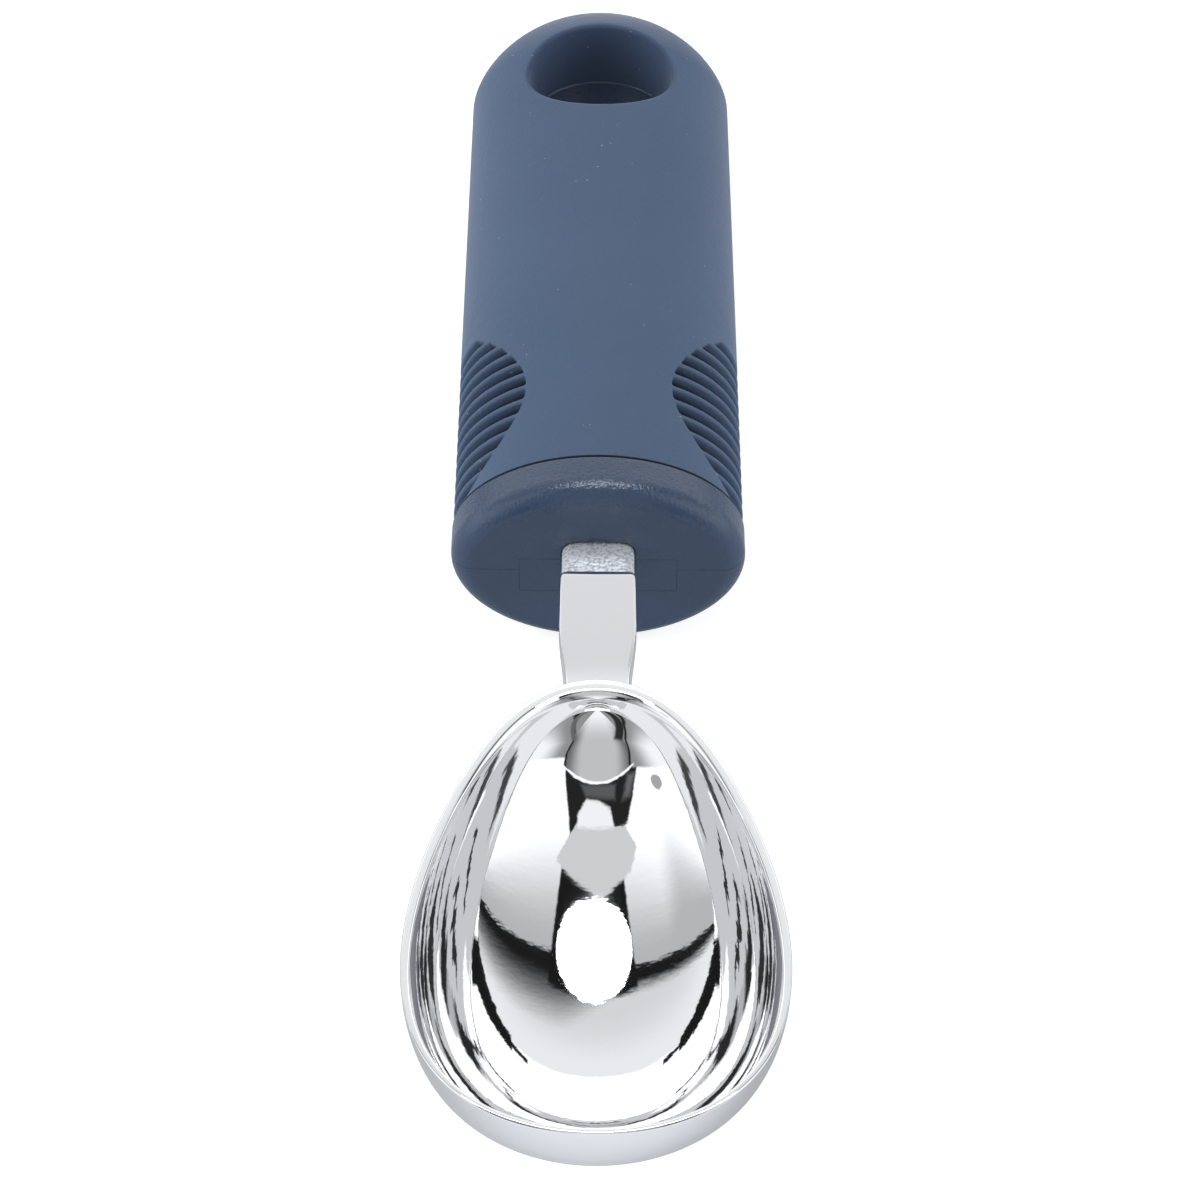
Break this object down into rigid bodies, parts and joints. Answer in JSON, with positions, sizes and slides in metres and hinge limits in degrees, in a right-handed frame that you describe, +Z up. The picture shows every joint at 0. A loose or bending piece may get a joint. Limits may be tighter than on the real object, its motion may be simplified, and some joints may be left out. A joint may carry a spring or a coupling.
{
  "type": "watermelon scoop",
  "caption": "Hand scoop for melon: an egg-shaped chrome bowl on a short neck, set in an oval soft-grip handle with ribbed finger rests and a round hang hole.",
  "frame": {"origin": "on the table, under the middle of the scoop's length and width", "axes": "+Z up from the table, square to the bowl's rim; +Y from the bowl's lip to the tail of the handle; +X across the scoop, to the right when the bowl is nearer"},
  "size_m": [0.0384, 0.1906, 0.0222],
  "materials": {
    "polished_chrome": "mirror polished plating on a zinc casting, unpolished at the root",
    "hard_plastic": "fine grain, grey blue",
    "soft_grip": "matt soft rubber, navy blue"
  },
  "bodies": {
    "root": {"scoop_head": "polished_chrome", "handle_core": "hard_plastic", "grip_sleeve": "soft_grip"}
  },
  "joints": []
}
